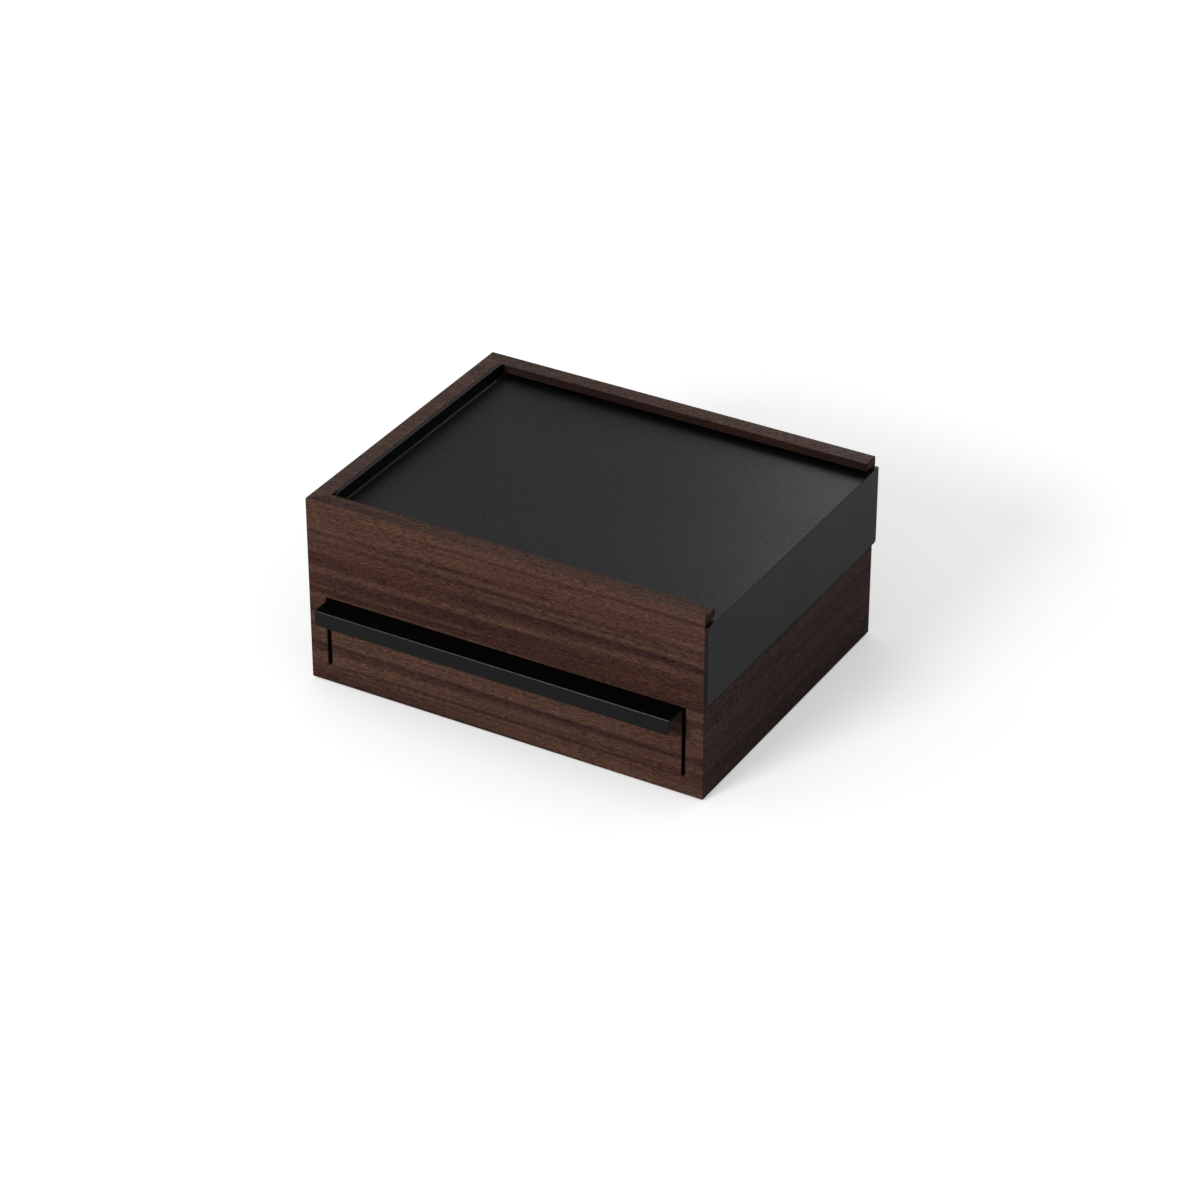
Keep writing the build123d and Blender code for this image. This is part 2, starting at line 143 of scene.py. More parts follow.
room_light = 0.02
room_straight = 1.0
room_mirrored = 1.0
world = bpy.data.worlds.new("studio_room")
world.use_nodes = True
bpy.context.scene.world = world
room = world.node_tree
room.nodes["Background"].inputs["Color"].default_value = (1.0, 1.0, 1.0, 1.0)
room_strength = seen_strength(room, room_light, room_straight, room_mirrored)
room.links.new(room_strength, room.nodes["Background"].inputs["Strength"])


# The floor is white paper. Its matt face keeps the box's soft shadow, and a glow makes it as white
# as the room behind it where no shadow lies. That glow is darkened round the box by a painted
# shade, which the metal mirrors too. It glows a little more further out, and is clear from below.
def mixed(tree, share, first, second, blend="MIX"):
    """Two colours mixed. Each is a socket or a plain RGB, and the share is a socket or a number."""
    mix = new_node(tree, "Mix", data_type="RGBA", blend_type=blend)
    feed(tree, mix.inputs[0], share)
    feed(tree, mix.inputs[6], first)
    feed(tree, mix.inputs[7], second)
    return mix.outputs[2]


floor_half = 6.0
floor_drop = 0.0001
paper_tone = (0.60, 0.60, 0.60, 1.0)
paper_glow = 0.83
paper_mirrored = 0.58
paper_far_glow = 0.35
paper_far_mirrored = 2.5 * paper_far_glow
paper_far_start = 0.32
paper_far_end = 0.75
shade_reach = 0.4
shade_straight = 0.60
shade_mirrored = 0.9
floor_shape = bmesh.new()
bmesh.ops.create_grid(floor_shape, x_segments=1, y_segments=1, size=floor_half)
bmesh.ops.translate(floor_shape, verts=floor_shape.verts, vec=(0.0, 0.0, -floor_drop))
floor_mesh = bpy.data.meshes.new("paper_floor")
floor_shape.to_mesh(floor_mesh)
floor_shape.free()
floor = bpy.data.objects.new("paper_floor", floor_mesh)
bpy.context.scene.collection.objects.link(floor)

paper = bpy.data.materials.new("white_paper")
paper.use_nodes = True
paper_tree = paper.node_tree
paper_tree.nodes.clear()
paper_link = paper_tree.links.new
# A painted shade: the glow dims where the box hides the room from the floor.
paper_shade = new_node(paper_tree, "AmbientOcclusion", Distance=shade_reach)
paper_rays = new_node(paper_tree, "LightPath")
shade_share = ranged(
    paper_tree, paper_rays.outputs["Is Camera Ray"], 0.0, 1.0, shade_mirrored, shade_straight
)
paper_lift = new_node(paper_tree, "Emission")
feed(
    paper_tree, paper_lift.inputs["Color"],
    mixed(paper_tree, shade_share, (1.0, 1.0, 1.0), paper_shade.outputs["Color"]),
)
paper_place = new_node(paper_tree, "TexCoord")
paper_reach = new_node(paper_tree, "VectorMath", operation="LENGTH")
paper_link(paper_place.outputs["Object"], paper_reach.inputs[0])
far_share = ranged(paper_tree, paper_reach.outputs["Value"], paper_far_start, paper_far_end)
far_glow = worked(
    paper_tree, "MULTIPLY", far_share, seen_strength(paper_tree, 0.0, paper_far_glow, paper_far_mirrored)
)
near_glow = seen_strength(paper_tree, 0.0, paper_glow, paper_mirrored)
paper_link(worked(paper_tree, "ADD", near_glow, far_glow), paper_lift.inputs["Strength"])
paper_matt = new_node(paper_tree, "BsdfDiffuse", Color=paper_tone)
paper_face = new_node(paper_tree, "AddShader")
paper_link(paper_matt.outputs[0], paper_face.inputs[0])
paper_link(paper_lift.outputs[0], paper_face.inputs[1])
paper_side = new_node(paper_tree, "NewGeometry")
paper_clear = new_node(paper_tree, "BsdfTransparent")
paper_sides = new_node(paper_tree, "MixShader")
paper_link(paper_side.outputs["Backfacing"], paper_sides.inputs[0])
paper_link(paper_face.outputs[0], paper_sides.inputs[1])
paper_link(paper_clear.outputs[0], paper_sides.inputs[2])
paper_out = new_node(paper_tree, "OutputMaterial")
paper_link(paper_sides.outputs[0], paper_out.inputs["Surface"])
floor_mesh.materials.append(paper)

# The small lamp behind lights the box alone, since its own light would fill the shadow there.
rear_lamp_passes = bpy.data.collections.new("rear_lamp_passes")
rear_lamp_passes.objects.link(floor)
rear_lamp_passes.collection_objects[0].light_linking.link_state = "EXCLUDE"
bpy.data.objects["rear_lamp"].light_linking.receiver_collection = rear_lamp_passes


# A sheet of black pressed felt is glued under the base and keeps it from scratching the table.
# Its fuzz is fine and stands up all over, with a few paler and darker clouds.
def blank_finish(name):
    """A material with a bare Principled shader, its node tree and that shader."""
    material = bpy.data.materials.new(name)
    material.use_nodes = True
    return material, material.node_tree, material.node_tree.nodes["Principled BSDF"]


def stretched_noise(tree, source, repeats, shift, detail, roughness=0.5):
    """Noise with its own number of repeats to the metre along each axis."""
    placed = new_node(tree, "Mapping", Scale=repeats, Location=shift)
    grain = new_node(tree, "TexNoise", Scale=1.0, Detail=detail, Roughness=roughness)
    tree.links.new(source, placed.inputs["Vector"])
    tree.links.new(placed.outputs["Vector"], grain.inputs["Vector"])
    return grain.outputs["Fac"]


def raise_grain(tree, skin, height, strength, depth):
    """Gives the shader a relief of that depth in metres."""
    bump = new_node(tree, "Bump", Strength=strength, Distance=depth)
    tree.links.new(height, bump.inputs["Height"])
    tree.links.new(bump.outputs["Normal"], skin.inputs["Normal"])


def give(node, material):
    """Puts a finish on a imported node."""
    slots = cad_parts[node].data.materials
    slots.clear()
    slots.append(material)


felt_fuzz_repeats = (1400.0,) * 3
felt_cloud_repeats = (60.0,) * 3
felt_dark = (0.008, 0.008, 0.009)
felt_pale = (0.028, 0.028, 0.030)
felt, felt_tree, felt_skin = blank_finish("black_felt")
felt_place = new_node(felt_tree, "TexCoord").outputs["Object"]
felt_fuzz = stretched_noise(felt_tree, felt_place, felt_fuzz_repeats, (0.0, 0.0, 0.0), 4.0, 0.7)
felt_cloud = stretched_noise(felt_tree, felt_place, felt_cloud_repeats, (1.0, 0.0, 0.0), 3.0)
felt_tone = mixed(felt_tree, ranged(felt_tree, felt_fuzz, 0.35, 0.65), felt_dark, felt_pale)
felt_clouds = ranged(felt_tree, felt_cloud, 0.3, 0.7, 0.85, 1.15)
feed(felt_tree, felt_skin.inputs["Base Color"], mixed(felt_tree, 1.0, felt_tone, felt_clouds, "MULTIPLY"))
felt_skin.inputs["Roughness"].default_value = 0.95
felt_skin.inputs["Specular IOR Level"].default_value = 0.15
felt_skin.inputs["Sheen Weight"].default_value = 0.3
raise_grain(felt_tree, felt_skin, felt_fuzz, strength=0.8, depth=0.0002)
give("base_felt", felt)


# The bay behind the drawer is stained board: the base in its rebate, the shelf in its housing and
# the runners that carry the drawer. The splines glued across the mitres are of the same board.
def facing(tree, direction, low=0.6, high=0.8, elsewhere=0.0, there=1.0):
    """One value on the faces that look along the direction, and another elsewhere."""
    place = new_node(tree, "TexCoord")
    along = new_node(tree, "VectorMath", operation="DOT_PRODUCT")
    along.inputs[1].default_value = direction
    tree.links.new(place.outputs["Normal"], along.inputs[0])
    return ranged(tree, along.outputs["Value"], low, high, elsewhere, there)


# Repeats to the metre of each part of a board's figure, along the grain and across it.
band_repeats = (2.0, 150.0, 150.0)
streak_repeats = (5.0, 430.0, 430.0)
patch_repeats = (7.0, 55.0, 55.0)
figure_repeats = (30.0, 700.0, 700.0)
fibre_repeats = (330.0, 2300.0, 2300.0)
pore_repeats = (170.0, 2600.0, 2600.0)
wander_repeats = 6.0
wander_reach = 0.0025
streak_share = 0.35
# A dark tone that some sides of the boards are darkened toward.
dark_side_tone = (0.010, 0.007, 0.006)


def wood(name, kind, quarter_turn, shift, darkened_sides=(), painted_sheen_share=0.0, cross_rim=False):
    """Wood of a kind, with its grain along X, or along Y after a quarter turn.
    Some sides are darker. Faces that look up take a share of the rim's tone, a paler and greyer
    tone that is painted sheen, and a cross rim has its own strips of veneer, laid across it."""
    material, tree, skin = blank_finish(name)
    link = tree.links.new
    place = new_node(tree, "TexCoord")
    turned = new_node(tree, "Mapping", Rotation=(0.0, 0.0, quarter_turn), Location=shift)
    link(place.outputs["Object"], turned.inputs["Vector"])
    board = turned.outputs["Vector"]
    if cross_rim:
        unturned = new_node(tree, "Mapping", Location=shift)
        link(place.outputs["Object"], unturned.inputs["Vector"])
        laid = new_node(tree, "Mix", data_type="VECTOR")
        link(facing(tree, (0.0, 0.0, 1.0)), laid.inputs[0])
        link(board, laid.inputs[4])
        link(unturned.outputs["Vector"], laid.inputs[5])
        board = laid.outputs[1]
    # The grain lines wander a little up and down along the board.
    wander = new_node(tree, "TexNoise", Scale=wander_repeats, Detail=1.0)
    wandered = new_node(tree, "VectorMath", operation="MULTIPLY_ADD")
    wandered.inputs[1].default_value = (0.0, wander_reach, wander_reach)
    link(board, wander.inputs["Vector"])
    link(wander.outputs["Color"], wandered.inputs[0])
    link(board, wandered.inputs[2])
    grain = wandered.outputs["Vector"]
    bands = stretched_noise(tree, grain, band_repeats, (3.1, 0.7, 5.2), 1.0)
    streaks = stretched_noise(tree, grain, streak_repeats, (1.3, 8.1, 2.2), 2.0, 0.6)
    patches = stretched_noise(tree, grain, patch_repeats, (9.4, 4.4, 3.3), 1.5)
    figure = stretched_noise(tree, grain, figure_repeats, (2.0, 3.0, 1.0), 2.0)
    fibres = stretched_noise(tree, grain, fibre_repeats, (4.7, 1.9, 6.4), 2.0, 0.6)
    pores = stretched_noise(tree, grain, pore_repeats, (5.5, 2.5, 1.5), 1.0)
    # Long stripes run from the dark tone to the pale one, with ruddy patches over them.
    stripes = blended(
        tree, streak_share, ranged(tree, bands, 0.40, 0.60), ranged(tree, streaks, 0.34, 0.66)
    )
    lower = mixed(tree, ranged(tree, stripes, 0.12, 0.50), kind["dark"], kind["middle"])
    body = mixed(tree, ranged(tree, stripes, 0.50, 0.88), lower, kind["pale"])
    ruddy = mixed(tree, ranged(tree, patches, 0.48, 0.70, 0.0, 0.6), body, kind["red"])
    # Faces that look up are paled toward the rim's tone, a painted sheen.
    if painted_sheen_share:
        ruddy = mixed(tree, facing(tree, (0.0, 0.0, 1.0), there=painted_sheen_share), ruddy, kind["rim"])
    # Short fibres and a fine figure darken and lighten the stripes, and the pores lie over all.
    liveliness = kind["liveliness"]
    grained = ranged(tree, fibres, 0.28, 0.72, 1.0 - liveliness, 1.0 + liveliness)
    fine = mixed(tree, 1.0, ruddy, grained, "MULTIPLY")
    lively = mixed(tree, 1.0, fine, ranged(tree, figure, 0.25, 0.75, 0.86, 1.14), "MULTIPLY")
    tone = mixed(tree, ranged(tree, pores, 0.62, 0.74, 0.0, 0.6), lively, kind["pores"])
    # Some sides are darkened toward that dark tone.
    for side, share in darkened_sides:
        tone = mixed(tree, facing(tree, side, there=share), tone, dark_side_tone)
    link(tone, skin.inputs["Base Color"])
    skin.inputs["Roughness"].default_value = 0.5
    skin.inputs["Specular IOR Level"].default_value = 0.04
    link(ranged(tree, fibres, 0.3, 0.7, 0.0, 0.08), skin.inputs["Specular IOR Level"])
    relief = worked(
        tree, "SUBTRACT",
        ranged(tree, fibres, 0.2, 0.8, 0.0, 0.5), ranged(tree, pores, 0.60, 0.74, 0.0, 0.7),
    )
    raise_grain(tree, skin, relief, strength=0.35, depth=0.00006)
    return material


bay_board = {
    "dark": (0.020, 0.013, 0.010),
    "middle": (0.030, 0.019, 0.014),
    "pale": (0.042, 0.026, 0.018),
    "red": (0.036, 0.020, 0.014),
    "pores": (0.008, 0.006, 0.005),
    "liveliness": 0.4,
}
stained = wood("stained_board", bay_board, 0.0, (2.2, 0.6, 1.4))
stained_runner = wood("stained_runner", bay_board, pi / 2, (0.6, 2.6, 1.1))
give("base_panel", stained)
give("shelf_panel", stained)
give("corner_splines", stained)
give("left_drawer_runner", stained_runner)
give("right_drawer_runner", stained_runner)

# Walnut veneer covers the four case boards, which are mitred at the corners. Its grain runs along
# each board in long stripes of brown and dark purple, with short fibres and fine open pores. The
# boards are darker on their inside faces and beside the drawer, and their top rims are paled toward
# a greyer tone, a painted sheen. The left rim is veneered across.
walnut = {
    "dark": (0.036, 0.0168, 0.0144),
    "middle": (0.061, 0.0290, 0.0215),
    "pale": (0.092, 0.0475, 0.0318),
    "red": (0.071, 0.0290, 0.0200),
    "pores": (0.0166, 0.0083, 0.0075),
    # The rim's tone is a painted sheen on the faces that look up.
    "rim": (0.170, 0.115, 0.098),
    "liveliness": 0.68,
}
# Shares of that darkening on the inside faces and on the sides of the drawer opening.
inside_darkening = 0.6
opening_darkening = 0.85
walnut_front = wood(
    "walnut_front_panel", walnut, 0.0, (3.3, 1.4, 4.954), painted_sheen_share=0.08,
    darkened_sides=(
        ((0.0, 1.0, 0.0), inside_darkening),
        ((1.0, 0.0, 0.0), opening_darkening),
        ((-1.0, 0.0, 0.0), opening_darkening),
    ),
)
give("front_panel", walnut_front)
give("back_panel", wood(
    "walnut_back_panel", walnut, 0.0, (0.9, 0.4, 0.2), painted_sheen_share=0.30,
    darkened_sides=(((0.0, -1.0, 0.0), inside_darkening),),
))
give("left_panel", wood(
    "walnut_left_panel", walnut, pi / 2, (0.3, 1.1, 0.5), painted_sheen_share=0.36, cross_rim=True,
    darkened_sides=(((1.0, 0.0, 0.0), inside_darkening),),
))
give("right_panel", wood(
    "walnut_right_panel", walnut, pi / 2, (1.7, 0.2, 0.8), painted_sheen_share=0.26,
    darkened_sides=(((-1.0, 0.0, 0.0), inside_darkening),),
))

# The pads on the back wall that the drawer closes against are moulded rubber, with the faint grey
# bloom that rubber gets.
rubber_repeats = (300.0,) * 3
rubber_dark = (0.012, 0.012, 0.012)
rubber_pale = (0.022, 0.022, 0.023)
rubber, rubber_tree, rubber_skin = blank_finish("stop_rubber")
rubber_place = new_node(rubber_tree, "TexCoord").outputs["Object"]
rubber_bloom = stretched_noise(rubber_tree, rubber_place, rubber_repeats, (0.0, 0.0, 0.0), 3.0)
rubber_tone = mixed(rubber_tree, ranged(rubber_tree, rubber_bloom, 0.3, 0.7), rubber_dark, rubber_pale)
feed(rubber_tree, rubber_skin.inputs["Base Color"], rubber_tone)
rubber_roughness = ranged(rubber_tree, rubber_bloom, 0.3, 0.7, 0.55, 0.75)
feed(rubber_tree, rubber_skin.inputs["Roughness"], rubber_roughness)
give("drawer_stops", rubber)


# Tray and drawer are lined with thin boards wrapped in natural linen, so their edges are soft and
# the weave follows each face. The linen is a plain weave of slightly uneven threads.
slub_repeats = 240.0
slub_reach = 0.0004
cloth_stain_repeats = (55.0, 70.0, 55.0)
yarn_repeats = (0.9, 0.12, 1.0)


def linen_cloth(name, warp_tone, weft_tone, pitch):
    """Plain weave on the piece's UV map, which is in metres."""
    material, tree, skin = blank_finish(name)
    link = tree.links.new
    place = new_node(tree, "UVMap", uv_map="weave").outputs["UV"]
    slub = new_node(tree, "TexNoise", Scale=slub_repeats, Detail=2.0)
    link(place, slub.inputs["Vector"])
    uneven = new_node(tree, "VectorMath", operation="MULTIPLY_ADD")
    uneven.inputs[1].default_value = (slub_reach, slub_reach, 0.0)
    link(slub.outputs["Color"], uneven.inputs[0])
    link(place, uneven.inputs[2])
    counted = new_node(tree, "VectorMath", operation="SCALE", Scale=1.0 / pitch)
    link(uneven.outputs["Vector"], counted.inputs[0])
    threads_passed = counted.outputs["Vector"]
    parts = new_node(tree, "SeparateXYZ")
    link(threads_passed, parts.inputs[0])
    crests = [
        worked(tree, "ABSOLUTE", worked(tree, "SINE", worked(tree, "MULTIPLY", parts.outputs[axis], pi)))
        for axis in ("X", "Y")
    ]
    # Where the warp lies over the weft its own threads show, and they dip at the crossings.
    rises = [
        worked(tree, "MULTIPLY", worked(tree, "SQRT", across), ranged(tree, along, 0.0, 1.0, 0.45, 1.0))
        for across, along in (crests, crests[::-1])
    ]
    over = new_node(tree, "TexChecker", Scale=1.0)
    link(threads_passed, over.inputs["Vector"])
    height = blended(tree, over.outputs["Fac"], *rises)
    yarn = mixed(tree, over.outputs["Fac"], warp_tone, weft_tone)
    stain = stretched_noise(tree, place, cloth_stain_repeats, (0.3, 0.8, 0.0), 3.0)
    dyed = mixed(tree, 1.0, yarn, ranged(tree, stain, 0.3, 0.7, 0.90, 1.08), "MULTIPLY")
    uneven_yarn = stretched_noise(tree, threads_passed, yarn_repeats, (0.0, 0.0, 0.0), 2.0)
    spun = mixed(tree, 1.0, dyed, ranged(tree, uneven_yarn, 0.3, 0.7, 0.88, 1.10), "MULTIPLY")
    # The low parts of the weave are darkened, a painted shade in the dips between threads.
    shaded = mixed(tree, 1.0, spun, ranged(tree, height, 0.0, 1.0, 0.62, 1.06), "MULTIPLY")
    link(shaded, skin.inputs["Base Color"])
    skin.inputs["Roughness"].default_value = 0.85
    skin.inputs["Specular IOR Level"].default_value = 0.25
    skin.inputs["Sheen Weight"].default_value = 0.25
    skin.inputs["Sheen Roughness"].default_value = 0.5
    raise_grain(tree, skin, height, strength=0.6, depth=0.00018)
    return material


def lay_weave(shape):
    """Lays the weave's UV map flat on each face, in metres."""
    weave = shape.loops.layers.uv.new("weave")
    for face in shape.faces:
        x, y, z = (abs(part) for part in face.normal)
        for corner in face.loops:
            point = corner.vert.co
            if z >= x and z >= y:
                corner[weave].uv = (point.x, point.y)
            elif x >= y:
                corner[weave].uv = (point.y, point.z)
            else:
                corner[weave].uv = (point.x, point.z)


linen = linen_cloth(
    "natural_linen", warp_tone=(0.50, 0.455, 0.385), weft_tone=(0.43, 0.385, 0.315), pitch=0.00062
)
wrap_round = 0.00055
same_point = 1e-6
same_face_angle = radians(1.0)
square_angle = radians(60.0)
wrapped_boards = {
    "case": [
        "tray_floor_lining", "tray_front_lining", "tray_back_lining", "tray_left_lining",
        "tray_right_lining", "tray_long_divider", "tray_cross_divider_1", "tray_cross_divider_2",
    ],
    "drawer": [
        "drawer_floor_lining", "drawer_front_lining", "drawer_back_lining", "drawer_left_lining",
        "drawer_right_lining", "drawer_long_divider", "drawer_cross_divider_1", "drawer_cross_divider_2",
    ],
}
for body, boards in wrapped_boards.items():
    for board in boards:
        board_shape = bmesh.new()
        board_shape.from_mesh(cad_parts[board].data)
        bmesh.ops.remove_doubles(board_shape, verts=board_shape.verts, dist=same_point)
        bmesh.ops.dissolve_limit(
            board_shape, angle_limit=same_face_angle, verts=board_shape.verts, edges=board_shape.edges
        )
        square_edges = [edge for edge in board_shape.edges if edge.calc_face_angle(0.0) > square_angle]
        bmesh.ops.bevel(
            board_shape, geom=square_edges, offset=wrap_round, offset_type="OFFSET", segments=3,
            profile=0.5, affect="EDGES", material=-1, clamp_overlap=True,
        )
        many_sided = [face for face in board_shape.faces if len(face.verts) > 4]
        bmesh.ops.triangulate(board_shape, faces=many_sided)
        lay_weave(board_shape)
        board_mesh = bpy.data.meshes.new("wrapped_" + board)
        board_shape.to_mesh(board_mesh)
        board_shape.free()
        board_mesh.materials.append(linen)
        wrapped = bpy.data.objects.new("wrapped_" + board, board_mesh)
        bpy.context.scene.collection.objects.link(wrapped)
        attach(wrapped, body)
        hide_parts(board)

# Five foam rolls in brushed cloth fill the front left compartment, and rings are meant to stand in
# the creases between them. The cloth is drawn in and gathered round each end.
roll_low, roll_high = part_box("ring_rolls")
roll_count = 5
roll_pitch = (roll_high.y - roll_low.y) / roll_count
roll_gap = 0.0002
roll_radius = (roll_pitch - roll_gap) / 2
roll_slack = 0.0006
roll_half = (roll_high.x - roll_low.x) / 2
roll_centre = (roll_low.x + roll_high.x) / 2
roll_axis = roll_high.z - roll_radius
roll_end_round = 0.0022
roll_voxel = 0.0018
stuffing_pressure = 4.0
stuffing_frames = 20
cloth_stiffness = 12.0
cloth_bending = 0.4
gathers = 14
gather_depth = 0.0005
gather_reach = 0.006
rumple_repeats = 190.0
rumple_shift = 3.7
rumple_depth = 0.00018
brushed = linen_cloth(
    "brushed_linen", warp_tone=(0.46, 0.415, 0.35), weft_tone=(0.42, 0.375, 0.31), pitch=0.00050
)
for roll in range(roll_count):
    roll_y = roll_low.y + roll_pitch * (roll + 0.5)
    roll_place = Matrix.Translation((roll_centre, roll_y, roll_axis)) @ Matrix.Rotation(pi / 2, 4, "Y")
    roll_shape = bmesh.new()
    bmesh.ops.create_cone(
        roll_shape, cap_ends=True, cap_tris=False, segments=40, radius1=roll_radius - roll_slack,
        radius2=roll_radius - roll_slack, depth=2 * (roll_half - roll_slack), matrix=roll_place,
    )
    end_edges = [edge for edge in roll_shape.edges if edge.calc_face_angle(0.0) > square_angle]
    bmesh.ops.bevel(
        roll_shape, geom=end_edges, offset=roll_end_round, offset_type="OFFSET", segments=4,
        profile=0.5, affect="EDGES", material=-1, clamp_overlap=True,
    )
    roll_mesh = bpy.data.meshes.new(f"ring_roll_{roll + 1}")
    roll_shape.to_mesh(roll_mesh)
    roll_shape.free()
    cushion = bpy.data.objects.new(f"ring_roll_{roll + 1}", roll_mesh)
    bpy.context.scene.collection.objects.link(cushion)
    bpy.context.view_layer.objects.active = cushion
    remesh = cushion.modifiers.new("even_mesh", "REMESH")
    remesh.mode = "VOXEL"
    remesh.voxel_size = roll_voxel
    bpy.ops.object.modifier_apply(modifier=remesh.name)
    before = [corner.co.copy() for corner in cushion.data.vertices]
    cloth = cushion.modifiers.new("stuffing", "CLOTH")
    cloth.settings.use_pressure = True
    cloth.settings.uniform_pressure_force = stuffing_pressure
    cloth.settings.effector_weights.gravity = 0.0
    cloth.settings.tension_stiffness = cloth_stiffness
    cloth.settings.compression_stiffness = cloth_stiffness
    cloth.settings.bending_stiffness = cloth_bending
    cloth.point_cache.frame_start = 1
    cloth.point_cache.frame_end = stuffing_frames
    for step in range(1, stuffing_frames + 1):
        bpy.context.scene.frame_set(step)
    bpy.ops.object.modifier_apply(modifier=cloth.name)
    bpy.context.scene.frame_set(1)
    # The stuffing swells the cloth by its slack at most, and the gathers fold its ends.
    for corner, start in zip(cushion.data.vertices, before):
        moved = corner.co - start
        if moved.length > roll_slack:
            moved = moved.normalized() * roll_slack
        point = start + moved
        spoke = Vector((0.0, point.y - roll_y, point.z - roll_axis))
        if spoke.length > same_point:
            angle = Vector((1.0, 0.0)).angle_signed(Vector((spoke.y, spoke.z)), 0.0)
            wave = cos(gathers * angle + roll) * 0.5 + 0.5
            end_share = max(0.0, 1.0 - (roll_half - abs(point.x - roll_centre)) / gather_reach)
            rumple_place = point * rumple_repeats + Vector((roll * rumple_shift, 0.0, 0.0))
            rumple = noise.noise(rumple_place) * rumple_depth
            reach = spoke.length - gather_depth * wave * end_share ** 2 + rumple
            point = Vector((point.x, roll_y, roll_axis)) + spoke.normalized() * reach
        point.z = max(point.z, roll_low.z)
        corner.co = point
    cushion_shape = bmesh.new()
    cushion_shape.from_mesh(cushion.data)
    lay_weave(cushion_shape)
    cushion_shape.to_mesh(cushion.data)
    cushion_shape.free()
    cushion.data.materials.append(brushed)
    for face in cushion.data.polygons:
        face.use_smooth = True
    finer = cushion.modifiers.new("finer", "SUBSURF")
    finer.levels = 1
    finer.render_levels = 1
    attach(cushion, "case")
    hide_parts("ring_rolls")


# The cover is one sheet of steel under a fine black powder coat, folded up at the left for a grip
# and down over the right end.
coat_dark = (0.0004, 0.0004, 0.0004)
coat_pale = (0.0010, 0.0010, 0.0010)
coat_cloud_repeats = (16.0,) * 3


def powder_coat(name, grains, depth, sheen, top_sheen, edge, edge_sheen):
    """Black powder coat with that many grains to the metre. Its sheen may be other on level faces,
    and greater on one narrow edge or fold, which looks along its own direction."""
    material, tree, skin = blank_finish(name)
    link = tree.links.new
    place = new_node(tree, "TexCoord").outputs["Object"]
    sand = stretched_noise(tree, place, (grains,) * 3, (1.0, 2.0, 3.0), 2.0, 0.65)
    cloud = stretched_noise(tree, place, coat_cloud_repeats, (0.4, 2.1, 0.8), 2.0)
    link(mixed(tree, ranged(tree, sand, 0.3, 0.7), coat_dark, coat_pale), skin.inputs["Base Color"])
    link(ranged(tree, cloud, 0.3, 0.7, 0.40, 0.44), skin.inputs["Roughness"])
    flat_sheen = facing(tree, (0.0, 0.0, 1.0), 0.95, 0.99, sheen, top_sheen)
    all_sheen = worked(tree, "ADD", flat_sheen, facing(tree, edge, 0.80, 0.95, 0.0, edge_sheen))
    speckled = worked(tree, "MULTIPLY", all_sheen, ranged(tree, sand, 0.3, 0.7, 0.45, 1.55))
    skin.inputs["Specular IOR Level"].default_value = sheen
    link(speckled, skin.inputs["Specular IOR Level"])
    raise_grain(tree, skin, sand, strength=0.5, depth=depth)
    return material


give("sliding_cover", powder_coat(
    "cover_coat", grains=1400.0, depth=0.00007, sheen=0.10, top_sheen=0.10,
    edge=(0.0, -1.0, 0.0), edge_sheen=0.08,
))

# The drawer box behind its front is pale beech, grooved for its bottom and waxed so that it runs
# freely.
beech = {
    "dark": (0.430, 0.265, 0.140),
    "middle": (0.520, 0.335, 0.190),
    "pale": (0.600, 0.410, 0.250),
    "red": (0.540, 0.330, 0.190),
    "pores": (0.250, 0.140, 0.070),
    "liveliness": 0.25,
}
beech_side = wood("beech_side", beech, pi / 2, (0.2, 0.9, 0.3))
beech_back = wood("beech_back", beech, 0.0, (0.7, 0.1, 0.6))
give("drawer_left_side", beech_side)
give("drawer_right_side", beech_side)
give("drawer_back", beech_back)
give("drawer_bottom", beech_back)

# The drawer front is cut out of the front board's own plank, so its veneer is the same sheet and
# its grain runs on from the board's.
give("drawer_front", walnut_front)

# The handle is a thinner strip of steel in a finer coat, folded down over the drawer's face. The
# round of its fold catches the light.
give("drawer_handle", powder_coat(
    "handle_coat", grains=2600.0, depth=0.00005, sheen=0.15, top_sheen=0.05,
    edge=(0.0, -0.7, 0.7), edge_sheen=0.32,
))

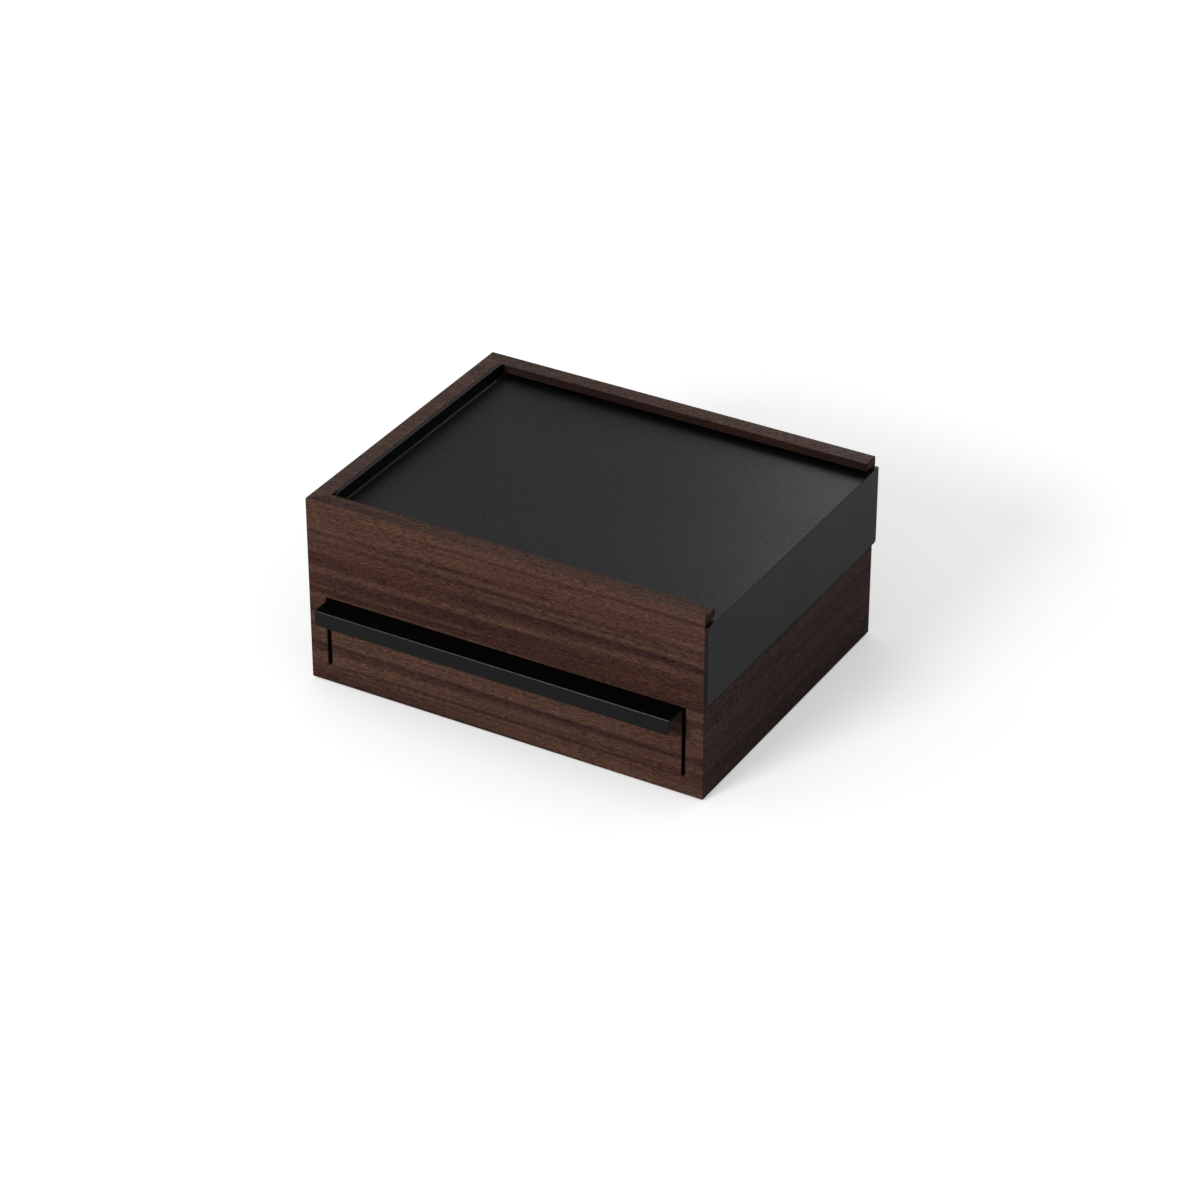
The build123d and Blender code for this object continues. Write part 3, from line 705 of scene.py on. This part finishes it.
# Three blackened countersunk screws hold the handle on the drawer front, each with a cross recess.
# Their heads lie flush in the strip, and the black is a little worn.
screw_low, screw_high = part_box("handle_screws")
screw_head = 0.0027
screw_shank = 0.0014
screw_point = screw_shank / 4
screw_cone = 0.0013
recess_reach = 0.0015
recess_half_width = 0.00045
recess_depth = 0.0008
screw_y = (screw_low.y + screw_high.y) / 2
screw_row = (screw_low.x + screw_head, 0.0, screw_high.x - screw_head)
screw_shape = bmesh.new()
for screw_x in screw_row:
    head_middle = Vector((screw_x, screw_y, screw_high.z))
    rim = bmesh.ops.create_circle(screw_shape, cap_ends=False, segments=48, radius=screw_head)["verts"]
    bmesh.ops.translate(screw_shape, verts=rim, vec=head_middle)
    edges = list({edge for corner in rim for edge in corner.link_edges})
    for radius, level in (
        (screw_shank, screw_high.z - screw_cone),
        (screw_shank, screw_low.z + screw_shank),
        (screw_point, screw_low.z),
    ):
        grown = bmesh.ops.extrude_edge_only(screw_shape, edges=edges)["geom"]
        ring = [item for item in grown if isinstance(item, bmesh.types.BMVert)]
        edges = [item for item in grown if isinstance(item, bmesh.types.BMEdge)]
        middle = Vector((screw_x, screw_y, level))
        for corner in ring:
            spoke = Vector((corner.co.x - screw_x, corner.co.y - screw_y, 0.0)).normalized()
            corner.co = middle + spoke * radius
    bmesh.ops.contextual_create(screw_shape, geom=edges)
    # The head's flat is drawn round the cross, whose floor lies lower.
    arm = [
        Vector((recess_reach, -recess_half_width, 0.0)),
        Vector((recess_reach, recess_half_width, 0.0)),
        Vector((recess_half_width, recess_half_width, 0.0)),
    ]
    cross = [
        screw_shape.verts.new(head_middle + Matrix.Rotation(quarter * pi / 2, 3, "Z") @ corner)
        for quarter in range(4)
        for corner in arm
    ]
    cross_edges = [
        screw_shape.edges.new((corner, following))
        for corner, following in zip(cross, cross[1:] + cross[:1])
    ]
    rim_edges = [edge for edge in screw_shape.edges if edge.verts[0] in rim and edge.verts[1] in rim]
    bmesh.ops.triangle_fill(
        screw_shape, use_beauty=True, use_dissolve=False, edges=cross_edges + rim_edges
    )
    for face in [face for face in screw_shape.faces if all(corner in cross for corner in face.verts)]:
        screw_shape.faces.remove(face)
    sunk = bmesh.ops.extrude_edge_only(screw_shape, edges=cross_edges)["geom"]
    recess_corners = [item for item in sunk if isinstance(item, bmesh.types.BMVert)]
    bmesh.ops.translate(screw_shape, verts=recess_corners, vec=(0.0, 0.0, -recess_depth))
    recess_edges = [
        item for item in sunk
        if isinstance(item, bmesh.types.BMEdge) and all(corner in recess_corners for corner in item.verts)
    ]
    bmesh.ops.contextual_create(screw_shape, geom=recess_edges)
bmesh.ops.recalc_face_normals(screw_shape, faces=screw_shape.faces)
screw_mesh = bpy.data.meshes.new("cross_head_screws")
screw_shape.to_mesh(screw_mesh)
screw_shape.free()

steel_wear_repeats = (900.0,) * 3
steel_black = (0.020, 0.020, 0.022)
steel_worn = (0.11, 0.11, 0.115)
steel, steel_tree, steel_skin = blank_finish("blackened_steel")
steel_place = new_node(steel_tree, "TexCoord").outputs["Object"]
steel_wear = stretched_noise(steel_tree, steel_place, steel_wear_repeats, (0.0, 0.0, 0.0), 3.0)
steel_tone = mixed(steel_tree, ranged(steel_tree, steel_wear, 0.45, 0.75), steel_black, steel_worn)
feed(steel_tree, steel_skin.inputs["Base Color"], steel_tone)
feed(steel_tree, steel_skin.inputs["Roughness"], ranged(steel_tree, steel_wear, 0.3, 0.7, 0.28, 0.45))
steel_skin.inputs["Metallic"].default_value = 1.0
screw_mesh.materials.append(steel)
screws = bpy.data.objects.new("cross_head_screws", screw_mesh)
bpy.context.scene.collection.objects.link(screws)
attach(screws, "drawer")
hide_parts("handle_screws")
